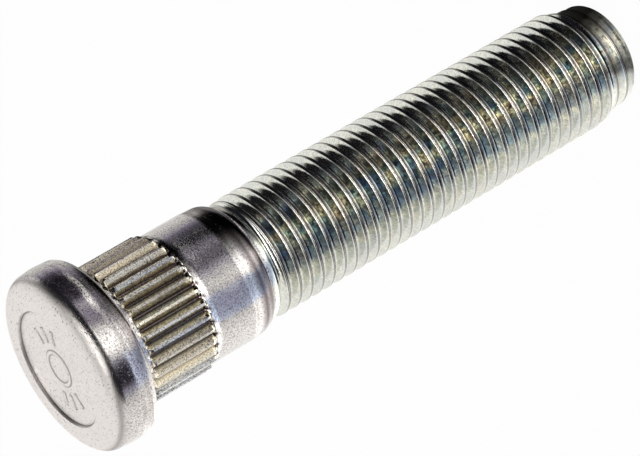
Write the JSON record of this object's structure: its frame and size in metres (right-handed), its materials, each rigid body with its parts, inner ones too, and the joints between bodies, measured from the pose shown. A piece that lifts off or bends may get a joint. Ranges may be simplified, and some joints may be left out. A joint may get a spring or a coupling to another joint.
{
  "type": "wheel stud",
  "caption": "Press-in wheel stud with a round flat head, serrated collar, plain shoulder, long metric thread and rounded pilot tip.",
  "frame": {"origin": "centre of the seat under the head, where the stud's head meets the back of the hub flange", "axes": "+Z along the stud's axis towards the head's outer face, so the thread's tip is at -Z; X and Y are free"},
  "size_m": [0.0204, 0.0204, 0.0749],
  "materials": {
    "plated_steel": "zinc plated with a faint yellow and blue passivation, lightly worn"
  },
  "bodies": {
    "root": {"wheel_stud": "plated_steel"}
  },
  "joints": []
}
